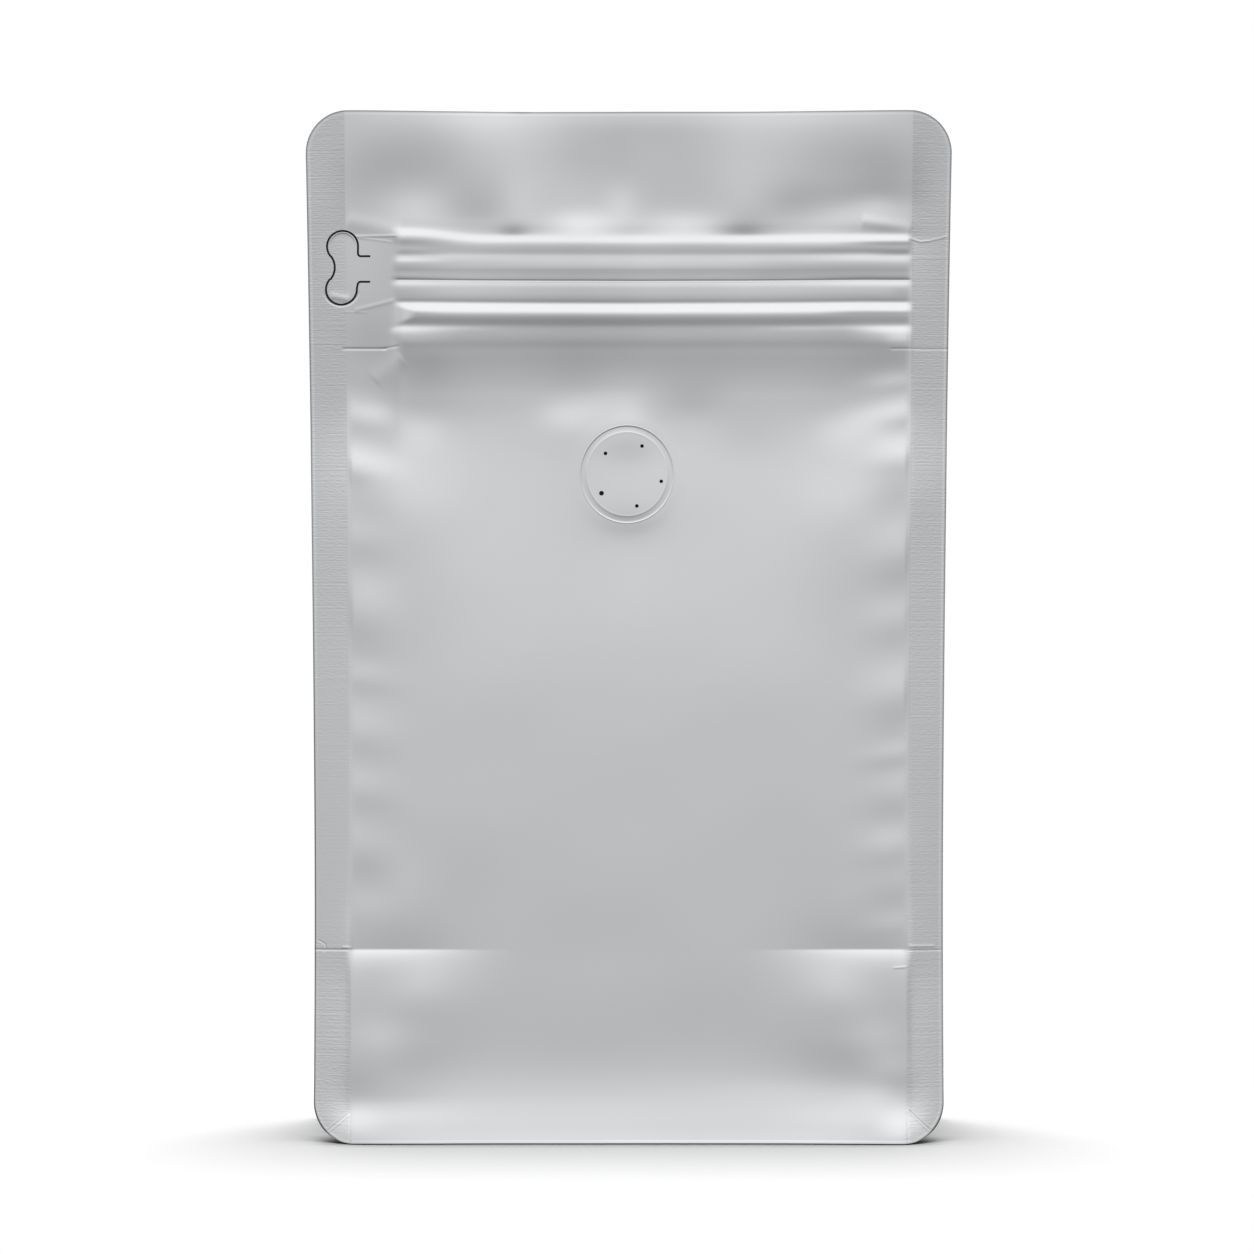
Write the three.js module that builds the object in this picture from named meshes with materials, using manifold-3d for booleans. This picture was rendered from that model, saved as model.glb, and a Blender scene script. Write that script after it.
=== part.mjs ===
// Flat-bottom foil stand-up pouch: four sealed side fins, side gussets folded inward, a front
// press-to-close strip under a tear strip with its die-cut tab, and a one-way valve.
// Millimetres, +Z up, front towards -Y, origin in the middle of the footprint on the ground.
import * as THREE from 'three';
import { mergeVertices } from 'three/addons/utils/BufferGeometryUtils.js';
import Module from 'manifold-3d';

const wasm = await Module();
wasm.setup();

// ---------- driving dimensions ----------
const HEIGHT = 205.5;
const EDGE_TOP = 65;
const EDGE_BOTTOM = 61.7;
const ROOT_TOP = 57.4;
const ROOT_BOTTOM = 54.5;
const CORNER_TOP = 8.7;
const CORNER_BOTTOM = 7.8;
const FILM = 0.7;
const DEPTH_BASE = 30;
const DEPTH_TOP = 1.1;
const FIN_DEPTH_BASE = 29.5;
const FIN_TURN_BOTTOM = THREE.MathUtils.degToRad(27);
const FIN_TURN_TOP = THREE.MathUtils.degToRad(7);
const LEAN = 0.087;

// The shoulder: the panel runs back from the full lower part to the flat zipper.
const SHOULDER_DROP = 11;
const SHOULDER_TOP = 152;
const SHOULDER_LOW_MIDDLE = 88;
const SHOULDER_LOW_RISE = 30;
const SHOULDER_REACH = 50;

// The zipper and the tear strip: how far the film stands out, from the mouth downward.
const ZIP_LEFT = -46.6;
const ZIP_END_BLEND = 3;
const ZIP_PROFILE = [
  [205.5, 0], [184, -1.6], [181.2, -1.0], [178.6, 0.6], [176, 0.6], [174, 1.05], [171.2, 0.95],
  [170.7, 0.7], [170.2, 1.0], [168.6, 1.2], [166.4, 1.05], [164.4, 2.5], [163.4, 2.3], [161.9, 1.7],
  [159.6, 1.5], [157, 0.9], [153.8, 0.2], [150, -0.25], [143, 0],
];

// The crease where the folded base pressed on the front, and the fullness under its two ends.
const CREASE_Z = 37.5;
const CREASE_FULLNESS = 1.7;
const CREASE_FULL_FROM = 24;
const CREASE_FULL_TO = 46;
const SEAL_BAND = 7.7;
const SEAL_STEP = 0.3;

// Puckers along the side seals and slow waves near the mouth.
const PUCKER_PITCH_LEFT = 12.6;
const PUCKER_PITCH_RIGHT = 10.4;
const PUCKER_HEIGHT = 0.4;
const PUCKER_REACH = 11;
const MOUTH_WAVE = 0.45;
const MOUTH_WAVE_PITCH = 44;

// Side gussets, and the base panel that sags to the ground inside its seal bands.
const GUSSET_HALF = 29.5;
const GUSSET_FACET = 30;
const BASE_PANEL_X = 47;
const BASE_PANEL_Y = 28.6;
const BASE_PANEL_RISE = 6;

// The valve.
const VALVE_Z = 131.7;
const VALVE_X = -0.2;
const VALVE_RX = 9.4;
const VALVE_RZ = 9.9;
const VALVE_THICK = 1.2;
const VALVE_PROUD = 0.35;
const VALVE_GROOVE_IN = 0.86;
const VALVE_GROOVE_OUT = 0.95;
const VALVE_GROOVE_DEEP = 0.25;
const PINHOLE_R = 0.33;
const PINHOLE_DEEP = 0.7;
const PINHOLE_RING = 6.4;
const PINHOLE_FIRST = THREE.MathUtils.degToRad(64);
const GAP = 0.3;

// The tear tab: two round ends and a waist, cut into the film beside the tear strip.
const TAB_R = 3.13;
const TAB_UPPER = new THREE.Vector2(-57.62, 177.83);
const TAB_LOWER = new THREE.Vector2(-57.77, 169.03);
const TAB_NECK_TOP = 175.75;
const TAB_NECK_BOTTOM = 170.6;
const TAB_NECK_END = -52;
const TAB_CUT_WIDE = 0.4;
const TAB_CUT_DEEP = 0.35;

// ---------- small maths ----------
const clamp01 = (t) => Math.min(1, Math.max(0, t));

function smooth(from, to, value) {
  const t = clamp01((value - from) / (to - from));
  return t * t * (3 - 2 * t);
}

function mix(a, b, t) {
  return a + (b - a) * t;
}

// Smooth steps between the named heights of a profile that runs from high to low.
function alongProfile(profile, z) {
  if (z >= profile[0][0]) return profile[0][1];
  for (let i = 1; i < profile.length; i += 1) {
    const [zHigh, high] = profile[i - 1];
    const [zLow, low] = profile[i];
    if (z >= zLow) return mix(low, high, smooth(zLow, zHigh, z));
  }
  return profile[profile.length - 1][1];
}

// ---------- the film's surface ----------
const rise = (z) => clamp01(z / HEIGHT);
const rootX = (z) => mix(ROOT_BOTTOM, ROOT_TOP, rise(z));
const edgeX = (z) => mix(EDGE_BOTTOM, EDGE_TOP, rise(z));

// Half the width of the flat outline, with its rounded corners.
function outlineX(z) {
  const fromTop = HEIGHT - z;
  if (fromTop < CORNER_TOP) {
    const up = CORNER_TOP - fromTop;
    return edgeX(z) - CORNER_TOP + Math.sqrt(CORNER_TOP ** 2 - up ** 2);
  }
  if (z < CORNER_BOTTOM) {
    const down = CORNER_BOTTOM - z;
    return edgeX(z) - CORNER_BOTTOM + Math.sqrt(CORNER_BOTTOM ** 2 - down ** 2);
  }
  return edgeX(z);
}

function seamDepth(z) {
  return DEPTH_TOP + (FIN_DEPTH_BASE - DEPTH_TOP) * (1 - rise(z)) ** 1.05;
}

function finTurn(z) {
  return Math.tan(mix(FIN_TURN_BOTTOM, FIN_TURN_TOP, rise(z)));
}

function panelDepth(x, z) {
  const aside = clamp01(Math.abs(x) / SHOULDER_REACH);
  const low = SHOULDER_LOW_MIDDLE + SHOULDER_LOW_RISE * aside ** 2;
  return DEPTH_BASE - LEAN * z - SHOULDER_DROP * smooth(low, SHOULDER_TOP, z);
}

// One pillowed panel between its seams, with both fins turned back towards the middle.
function plainDepth(x, z) {
  const root = rootX(z);
  const aside = Math.abs(x) / root;
  const seam = seamDepth(z);
  if (aside >= 1) return seam - finTurn(z) * (Math.abs(x) - root);
  return seam + (panelDepth(x, z) - seam) * (1 - aside ** 5);
}

function puckers(x, z) {
  const inward = rootX(z) - Math.abs(x);
  if (inward < 0 || inward > PUCKER_REACH) return 0;
  const pitch = x < 0 ? PUCKER_PITCH_LEFT : PUCKER_PITCH_RIGHT;
  const across = Math.sin((Math.PI * inward) / PUCKER_REACH);
  const upDown = smooth(20, 45, z) * (1 - smooth(140, 150, z));
  return PUCKER_HEIGHT * across * upDown * Math.cos((2 * Math.PI * z) / pitch);
}

function zipRelief(x, z) {
  const root = rootX(z);
  const left = smooth(ZIP_LEFT - ZIP_END_BLEND, ZIP_LEFT, x);
  const right = 1 - smooth(root - ZIP_END_BLEND / 2, root, x);
  return alongProfile(ZIP_PROFILE, z) * left * right;
}

function mouthWaves(x, z) {
  const inside = 1 - smooth(0.8, 1, Math.abs(x) / rootX(z));
  const band = smooth(180, 188, z);
  return MOUTH_WAVE * inside * band * Math.cos((2 * Math.PI * (x - 3)) / MOUTH_WAVE_PITCH);
}

function creaseFullness(x, z) {
  const root = rootX(z);
  const aside = Math.abs(x);
  const ends = smooth(CREASE_FULL_FROM, CREASE_FULL_TO, aside) * (1 - smooth(root - 2, root + 1, aside));
  const below = smooth(CREASE_Z, CREASE_Z - 7, z) * smooth(10, 26, z);
  return CREASE_FULLNESS * ends * below;
}

function sealBand(z) {
  return SEAL_STEP * (1 - smooth(SEAL_BAND - 0.4, SEAL_BAND, z));
}

function frontDepth(x, z) {
  const relief = zipRelief(x, z) + puckers(x, z) + mouthWaves(x, z) + creaseFullness(x, z) + sealBand(z);
  return Math.max(FILM, plainDepth(x, z) + relief);
}

function backDepth(x, z) {
  return Math.max(FILM, plainDepth(x, z) + puckers(-x, z) + creaseFullness(x, z) + sealBand(z));
}

// ---------- solids ----------
function solidFrom(geometry) {
  const bare = geometry.index ? geometry.toNonIndexed() : geometry;
  const positions = new THREE.BufferGeometry();
  positions.setAttribute('position', bare.getAttribute('position').clone());
  const merged = mergeVertices(positions, 1e-4);
  const mesh = new wasm.Mesh({
    numProp: 3,
    vertProperties: new Float32Array(merged.getAttribute('position').array),
    triVerts: new Uint32Array(merged.index.array),
  });
  mesh.merge();
  return new wasm.Manifold(mesh);
}

function geometryFrom(solid) {
  const mesh = solid.getMesh();
  const geometry = new THREE.BufferGeometry();
  geometry.setAttribute('position', new THREE.BufferAttribute(new Float32Array(mesh.vertProperties), 3));
  geometry.setIndex(new THREE.BufferAttribute(new Uint32Array(mesh.triVerts), 1));
  geometry.computeVertexNormals();
  return geometry;
}

function geometryOf(points, faces) {
  const geometry = new THREE.BufferGeometry();
  geometry.setAttribute('position', new THREE.Float32BufferAttribute(points.flat(), 3));
  geometry.setIndex(faces.flat());
  return geometry;
}

// A solid between a curved face, given as a grid of points, and its shadow on a flat plane.
function reliefSolid(grid, shadow, flip) {
  const rows = grid.length;
  const columns = grid[0].length;
  const points = grid.flat();
  const faces = [];
  const quad = (a, b, c, d) => faces.push([a, b, c], [a, c, d]);
  for (let j = 0; j + 1 < rows; j += 1) {
    for (let i = 0; i + 1 < columns; i += 1) {
      const at = j * columns + i;
      quad(at, at + 1, at + columns + 1, at + columns);
    }
  }
  const rim = [];
  for (let i = 0; i < columns - 1; i += 1) rim.push(i);
  for (let j = 0; j < rows - 1; j += 1) rim.push(j * columns + columns - 1);
  for (let i = columns - 1; i > 0; i -= 1) rim.push((rows - 1) * columns + i);
  for (let j = rows - 1; j > 0; j -= 1) rim.push(j * columns);
  const firstShadow = points.length;
  rim.forEach((index) => points.push(shadow(points[index])));
  const middle = points.length;
  const halfway = [0, 1, 2].map((axis) => (points[0][axis] + points[rows * columns - 1][axis]) / 2);
  points.push(shadow(halfway));
  rim.forEach((index, k) => {
    const next = (k + 1) % rim.length;
    quad(rim[next], index, firstShadow + k, firstShadow + next);
    faces.push([firstShadow + next, firstShadow + k, middle]);
  });
  const turned = flip ? faces.map(([a, b, c]) => [a, c, b]) : faces;
  return solidFrom(geometryOf(points, turned));
}

// A solid lofted through rings of equal length, closed by a fan at each end.
function loftSolid(rings) {
  const count = rings[0].length;
  const points = rings.flat();
  const faces = [];
  for (let j = 0; j + 1 < rings.length; j += 1) {
    for (let i = 0; i < count; i += 1) {
      const next = (i + 1) % count;
      const a = j * count + i;
      const b = j * count + next;
      faces.push([a, b, b + count], [a, b + count, a + count]);
    }
  }
  const last = (rings.length - 1) * count;
  for (let i = 1; i + 1 < count; i += 1) {
    faces.push([0, i + 1, i], [last, last + i, last + i + 1]);
  }
  return solidFrom(geometryOf(points, faces));
}

// Rising levels: the corner arcs, the named heights and an even spread between them.
function levels(named, step) {
  const arcs = [];
  const arcSteps = 5;
  for (let k = 1; k <= arcSteps; k += 1) {
    const angle = (Math.PI / 2) * (k / arcSteps);
    arcs.push(CORNER_BOTTOM * (1 - Math.cos(angle)), HEIGHT - CORNER_TOP * (1 - Math.cos(angle)));
  }
  const fixed = [0, HEIGHT, ...arcs, ...named].sort((a, b) => a - b);
  const result = [fixed[0]];
  fixed.slice(1).forEach((z) => {
    const from = result[result.length - 1];
    if (z - from < 0.25) return;
    const parts = Math.ceil((z - from) / step);
    for (let k = 1; k <= parts; k += 1) result.push(mix(from, z, k / parts));
  });
  result[result.length - 1] = HEIGHT;
  return result;
}

// Columns across the film, as shares of its half width, denser by the seams.
function shares(finSteps, panelSteps) {
  const rootShare = ROOT_TOP / EDGE_TOP;
  const half = [];
  for (let k = 0; k < finSteps; k += 1) half.push(mix(1, rootShare, k / finSteps));
  for (let k = 0; k <= panelSteps; k += 1) {
    const even = 1 - k / panelSteps;
    half.push(rootShare * even ** 0.75);
  }
  const inner = half.slice(0, -1).reverse();
  return [...half.map((share) => -share), ...inner];
}

function panelSolid(depth, side, columns, rows) {
  const overlap = 0.1;
  const grid = rows.map((z) => columns.map((share) => {
    const x = share * outlineX(z);
    return [x, side * depth(x, z), z];
  }));
  return reliefSolid(grid, ([x, , z]) => [x, -side * overlap, z], side > 0);
}

function frontPanel() {
  const named = [...ZIP_PROFILE.map(([z]) => z), SEAL_BAND - 0.4, SEAL_BAND, CREASE_Z, CREASE_Z - 3.5];
  return panelSolid(frontDepth, -1, shares(2, 14), levels(named, 4.5));
}

function backPanel() {
  return panelSolid(backDepth, 1, shares(2, 9), levels([SEAL_BAND - 0.4, SEAL_BAND, CREASE_Z], 7));
}

// How far the gusset's middle lies inward of the seam: its film keeps its width as it folds.
function gussetInward(z) {
  const folded = Math.sqrt(GUSSET_HALF ** 2 - seamDepth(Math.max(z, GUSSET_FACET)) ** 2);
  return mix(1, folded, clamp01(z / GUSSET_FACET));
}

// The space between the front and back fins on one side, down to the folded gusset. Low down the
// gusset's crease parts into two, which run to the corners of the base around a flat triangle.
function gussetSpace(side) {
  const past = 6;
  const leastHalf = 0.25;
  const step = 8;
  const foldSteps = 4;
  const rings = [];
  for (let z = -2; z < HEIGHT + step; z += step) {
    const root = rootX(z);
    const outer = edgeX(z) + past;
    const crease = root - gussetInward(z);
    const nearby = [z - step, z - step / 2, z, z + step / 2, z + step];
    const inside = (x) => Math.min(plainDepth(x, z), ...nearby.map((at) => frontDepth(side * x, at))) - FILM;
    const half = [outer, mix(outer, root, 0.5)].map((x) => [side * x, -Math.max(leastHalf, inside(x)), z]);
    const widest = seamDepth(z) - FILM;
    const facet = Math.max(0, widest * (1 - z / GUSSET_FACET));
    for (let k = 0; k <= foldSteps; k += 1) {
      const x = mix(root, crease, k / foldSteps);
      const open = Math.min(mix(widest, facet, k / foldSteps), inside(x));
      half.push([side * x, -Math.max(leastHalf, open), z]);
    }
    const mirrored = half.map(([x, y]) => [x, -y, z]).reverse();
    const ring = [...half, ...mirrored];
    rings.push(side > 0 ? ring.reverse() : ring);
  }
  return loftSolid(rings);
}

// The hollow under the base panel, between the panel and the ground.
function baseSpace() {
  const steps = 14;
  const below = -3;
  const grid = [];
  for (let j = 0; j <= steps; j += 1) {
    const v = mix(-1, 1, j / steps);
    const row = [];
    for (let i = 0; i <= steps; i += 1) {
      const u = mix(-1, 1, i / steps);
      const lifted = BASE_PANEL_RISE * (1 - (1 - u ** 4) * (1 - v ** 4)) - 0.12;
      row.push([u * BASE_PANEL_X, v * BASE_PANEL_Y, lifted < 0 ? -0.5 : lifted]);
    }
    grid.push(row);
  }
  return reliefSolid(grid, ([x, y]) => [x, y, below], false);
}

function slopeAt(x, z) {
  const near = 3;
  return (plainDepth(x, z + near) - plainDepth(x, z - near)) / (2 * near);
}

// Places a shape that was made facing +Z on the front film, its face towards the viewer.
function onFront(geometry, x, z, out) {
  const tilt = Math.atan(-slopeAt(x, z));
  geometry.rotateX(Math.PI / 2 - tilt);
  geometry.translate(x, -plainDepth(x, z) - out * Math.cos(tilt), z + out * Math.sin(tilt));
  return geometry;
}

function valvePocket() {
  const deep = VALVE_THICK - VALVE_PROUD + GAP;
  const high = 4;
  const shape = new THREE.CylinderGeometry(1, 1, high, 36);
  shape.rotateX(Math.PI / 2);
  shape.scale(VALVE_RX + GAP, VALVE_RZ + GAP, 1);
  return solidFrom(onFront(shape, VALVE_X, VALVE_Z, high / 2 - deep));
}

// The ribbon that a blade cuts round the tab, open where the tab joins the tear strip.
function tabCut() {
  const out = TAB_CUT_WIDE / 2;
  const arcSteps = 8;
  const path = [];
  const arc = (centre, from, to) => {
    for (let k = 0; k <= arcSteps; k += 1) {
      const angle = THREE.MathUtils.degToRad(mix(from, to, k / arcSteps));
      const ray = new THREE.Vector2(Math.cos(angle), Math.sin(angle));
      path.push({ at: centre.clone().addScaledVector(ray, TAB_R), out: ray });
    }
  };
  const up = new THREE.Vector2(0, 1);
  const down = new THREE.Vector2(0, -1);
  path.push({ at: new THREE.Vector2(TAB_NECK_END, TAB_NECK_TOP), out: up });
  path.push({ at: new THREE.Vector2(TAB_UPPER.x + TAB_R + 0.3, TAB_NECK_TOP), out: up });
  arc(TAB_UPPER, -20, 222);
  arc(TAB_LOWER, 138, 380);
  path.push({ at: new THREE.Vector2(TAB_LOWER.x + TAB_R + 0.5, TAB_NECK_BOTTOM), out: down });
  path.push({ at: new THREE.Vector2(TAB_NECK_END, TAB_NECK_BOTTOM), out: down });
  const rings = path.map(({ at, out: ray }) => {
    const wide = at.clone().addScaledVector(ray, out);
    const tight = at.clone().addScaledVector(ray, -out);
    const floor = (p) => -frontDepth(p.x, p.y) + TAB_CUT_DEEP;
    const proud = (p) => -frontDepth(p.x, p.y) - 2;
    return [
      [tight.x, floor(tight), tight.y], [tight.x, proud(tight), tight.y],
      [wide.x, proud(wide), wide.y], [wide.x, floor(wide), wide.y],
    ];
  });
  return loftSolid(rings);
}

function pouchSolid() {
  return frontPanel()
    .add(backPanel())
    .subtract(gussetSpace(1))
    .subtract(gussetSpace(-1))
    .subtract(baseSpace())
    .subtract(valvePocket())
    .subtract(tabCut());
}

// ---------- the valve ----------
function valveProfile() {
  const back = -VALVE_THICK;
  const rim = VALVE_RX;
  const grooveFloor = -VALVE_GROOVE_DEEP;
  return [
    [0, back], [rim, back], [rim, -0.15], [rim - 0.15, 0],
    [rim * VALVE_GROOVE_OUT, 0], [rim * VALVE_GROOVE_OUT - 0.15, grooveFloor],
    [rim * VALVE_GROOVE_IN + 0.15, grooveFloor], [rim * VALVE_GROOVE_IN, 0], [0, 0],
  ].map(([r, y]) => new THREE.Vector2(r, y));
}

function pinhole(index) {
  const angle = PINHOLE_FIRST + (index * 2 * Math.PI) / 5;
  const hole = new THREE.CylinderGeometry(PINHOLE_R, PINHOLE_R, 2 * PINHOLE_DEEP, 10);
  hole.rotateX(Math.PI / 2);
  hole.translate(PINHOLE_RING * Math.cos(angle), PINHOLE_RING * Math.sin(angle), 0);
  return solidFrom(hole);
}

function valveSolid() {
  const disc = new THREE.LatheGeometry(valveProfile(), 36);
  disc.rotateX(Math.PI / 2);
  let solid = solidFrom(disc);
  for (let k = 0; k < 5; k += 1) solid = solid.subtract(pinhole(k));
  const geometry = geometryFrom(solid);
  geometry.scale(1, VALVE_RZ / VALVE_RX, 1);
  return onFront(geometry, VALVE_X, VALVE_Z, VALVE_PROUD);
}

// ---------- the scene ----------
function named(name, geometry, material) {
  const mesh = new THREE.Mesh(geometry, material);
  mesh.name = name;
  return mesh;
}

const foil = new THREE.MeshStandardMaterial({ color: 0xbabcbe, roughness: 0.45, metalness: 0.9 });
const valveFoil = new THREE.MeshStandardMaterial({ color: 0xc2c4c6, roughness: 0.4, metalness: 0.85 });

const pouch = new THREE.Group();
pouch.add(named('pouch', geometryFrom(pouchSolid()), foil));
pouch.add(named('valve', valveSolid(), valveFoil));

export default pouch;
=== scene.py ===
"""Looks of the flat-bottom foil stand-up pouch: film panels with their folds, seals and zipper,
the valve cap, soft studio light and the camera. Shapes are worked out in millimetres."""

import math

import bpy
import numpy as np
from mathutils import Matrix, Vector


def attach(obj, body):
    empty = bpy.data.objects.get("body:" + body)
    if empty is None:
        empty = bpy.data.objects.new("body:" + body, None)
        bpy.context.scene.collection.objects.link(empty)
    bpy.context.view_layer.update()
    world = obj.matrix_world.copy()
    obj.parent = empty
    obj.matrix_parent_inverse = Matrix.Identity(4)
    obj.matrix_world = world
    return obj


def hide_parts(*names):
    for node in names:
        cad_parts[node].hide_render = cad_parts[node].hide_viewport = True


MM = 0.001
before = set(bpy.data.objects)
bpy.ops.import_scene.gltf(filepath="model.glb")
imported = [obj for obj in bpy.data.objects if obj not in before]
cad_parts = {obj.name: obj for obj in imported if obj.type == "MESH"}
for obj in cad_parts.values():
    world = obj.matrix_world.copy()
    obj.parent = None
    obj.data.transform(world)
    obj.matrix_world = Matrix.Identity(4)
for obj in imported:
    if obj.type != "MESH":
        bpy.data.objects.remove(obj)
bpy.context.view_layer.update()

# ---------- the pouch's main sizes, mm ----------
HEIGHT = 205.5
# Half widths out to the fins' edges and to the fins' roots, and the radii of the rounded corners.
EDGE_TOP, EDGE_BOTTOM = 65.0, 61.7
ROOT_TOP, ROOT_BOTTOM = 57.4, 54.5
CORNER_TOP, CORNER_BOTTOM = 8.7, 7.8
# Depths in front of the middle plane: the panels' at the base, the seams' at the top, the front's at
# the mouth and the seams' at the base. The seams' depth falls off upwards along a curve.
DEPTH_BASE, DEPTH_TOP, MOUTH_DEPTH = 30.3, 1.0, 1.3
FIN_DEPTH_BASE = 29.5
SEAM_CURVE = 1.2
# How far the fins turn back from the panel's plane.
FIN_TURN_BOTTOM, FIN_TURN_TOP = math.radians(27), math.radians(7)
# The back leans in evenly, and falls in further over a shoulder that starts higher at the sides.
LEAN = 0.087
SHOULDER_DROP, SHOULDER_TOP = 11.0, 152.0
SHOULDER_LOW_MIDDLE, SHOULDER_LOW_RISE, SHOULDER_REACH = 88.0, 30.0, 50.0
FILM = 0.35
# The side edges bow in a little: (share of the height, how far in there, how far out at the foot and top).
BOW_AT, BOW_IN, BOW_FOOT, BOW_TOP = 0.33, 0.31, 0.66, 0.71
# The mouth sags in the middle, and the foot's seal stands just off the ground.
MOUTH_SAG, MOUTH_SAG_HALF, MOUTH_SAG_FROM, FOOT_GAP = 0.32, 60.0, 188, 0.22
# Half the gusset's flat width, and how high the flat triangle at its foot reaches.
GUSSET_HALF, GUSSET_FACET = 29.5, 30.0
# The gussets' and the base panel's film, and how far they stay off the outer films and the ground.
INNER_FILM, GUSSET_CLEAR, BASE_CLEAR, GROUND_CLEAR = 0.25, 0.15, 0.2, 0.05
# The crease that the folded base has left across the panels.
CREASE_Z = 37.5
# The base panel: half its width, half its depth and how high its sealed rim lies.
BASE_HALF_X, BASE_HALF_Y, BASE_RIM = 53.4, 28.9, 6.4
# Below its crease the back film is a little fuller towards the sides.
BACK_FULL, BACK_FULL_Z, BACK_FULL_REACH, BACK_CREASE = 0.8, 29.0, 7.0, 0.05
# Slow random waves in the film: their size across and up, and how high they are on each panel.
RIPPLE_SIZE = (50, 40)
FRONT_RIPPLE, BACK_RIPPLE, GUSSET_RIPPLE, BASE_RIPPLE = 0.05, 0.12, 0.35, 0.12
FRONT_SEED, BACK_SEED, GUSSET_SEED, BASE_SEED = 5, 8, 21, 31
# The front and back films keep this far from the pouch's middle plane.
LEAST_DEPTH = 0.45

# The camera: level with the middle of the pouch, one metre in front of it.
EYE = (-0.353, -1000.0, 101.3)
LENS, SENSOR = 142.2, 36.0

# The heights in the lists below are those of details, which sit this much higher on the film.
DETAILS_UP = 0.2
# How far the front film faces up, in degrees, down its middle from the mouth: (height, tilt).
FRONT_TILT = [
    (205.5, 10), (203.6, 9.5), (201.5, 6), (199, 4.5), (185, 4.7), (150, 2), (147.9, 0.2), (144.7, 2.6),
    (141.5, 5.8), (138, 8), (134, 9.8), (125, 11), (113, 11.7), (106, 11.2), (98, 10), (86, 8.3),
    (75, 7.8), (60, 7.4), (50, 7.2), (38, 7.2), (34, 7.4), (30, 7), (26, 6.6), (21, 6.8), (18, 7.8),
    (15, 9.8), (12, 13), (9, 16.4), (7, 19), (0, 20),
]
# The same over the zipper, its flange and the hollow below it.
ZIPPER_TILT = [
    (183, 4), (181.35, 3), (180.55, 10), (180.05, 24), (179.55, 29), (179.05, 27), (178.45, 11),
    (177.55, 0.5), (176.65, 0), (175.95, 12), (174.95, 11.5), (173.85, 5.5), (173.15, -2.5), (171.75, -1),
    (171.25, -4), (170.45, 15), (169.65, 6), (168.35, 1.5), (167.45, -5), (166.7, -7), (166.45, 12),
    (166.25, 27), (165.85, 32), (165.15, 32), (164.8, 28), (164.55, 17), (164.15, 1), (163.55, -11),
    (162.95, -17), (162.15, -14.5), (161.65, -7), (161.35, -5), (160.15, -5), (159.05, -8.5),
    (158.1, -11.5), (156.8, -8.5), (154.9, -8.5), (153.2, -7), (151.7, -5), (149.5, -2), (147, 1.5),
]
# The zipper sags in the middle, and its topmost ridge turns up at the left.
ZIPPER_SAG, ZIPPER_HALF, ZIPPER_LEFT_LIFT = 0.35, 48.0, 1.1
# How its relief changes towards the ends: (way, from x, to x, [(height, reach, degrees)]), where the
# way is -1 for the left end, 1 for the right end and 0 for both.
ZIPPER_ENDS = [
    (0, 31, 49, [(175.5, 0.8, 9), (171.3, 0.4, -14), (170.4, 0.8, 8)]),
    (0, 22, 36, [(161.3, 0.45, 8)]),
    (0, 36, 46, [(164.4, 0.45, -12)]),
    (0, 12, 36, [(174.5, 1.1, -6)]),
    (-1, 31, 49, [(160.9, 0.9, 25), (159.2, 1.1, 9)]),
    (-1, 34, 46, [(178.7, 0.7, -10), (176.4, 0.7, -16), (175, 0.4, 10)]),
    (-1, 34, 46, [(173.6, 0.8, -5), (168.7, 1.0, -5)]),
    (-1, 28, 36, [(180.3, 0.8, -4)]),
    (1, 42, 53, [(160.9, 0.9, 25), (159.2, 1.1, 9)]),
    (1, 50, 54, [(159.3, 1.4, 9)]),
    (1, 10, 50, [(176.8, 1.0, -13), (173.7, 1.0, -7), (168, 1.5, -3)]),
    (1, 40, 50, [(178.4, 0.5, -16)]),
    (1, 15, 30, [(172, 0.9, -6)]),
    (1, 51, 55, [(168.7, 1.0, -5)]),
    (1, 46, 54, [(178.6, 0.6, -8), (176.3, 0.6, -10)]),
    (1, 36, 50, [(162.6, 1.2, 5)]),
]
# Where its relief starts at the left: (height, x).
ZIPPER_STARTS = [
    (183, -47.5), (180, -47.2), (176, -47), (171, -47.6), (167, -47), (165.6, -46.3), (164.5, -43.8),
    (163.4, -44), (162.1, -46.4), (161, -47.8), (158, -46.8), (156, -46.8), (147, -48.5),
]
# Where the tear strip starts and ends, and between which heights the zipper's relief lies.
ZIP_LEFT, STRIP_RIGHT = -46.6, 57.0
ZIP_BOTTOM, ZIP_TOP = 147.0, 183.0

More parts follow.
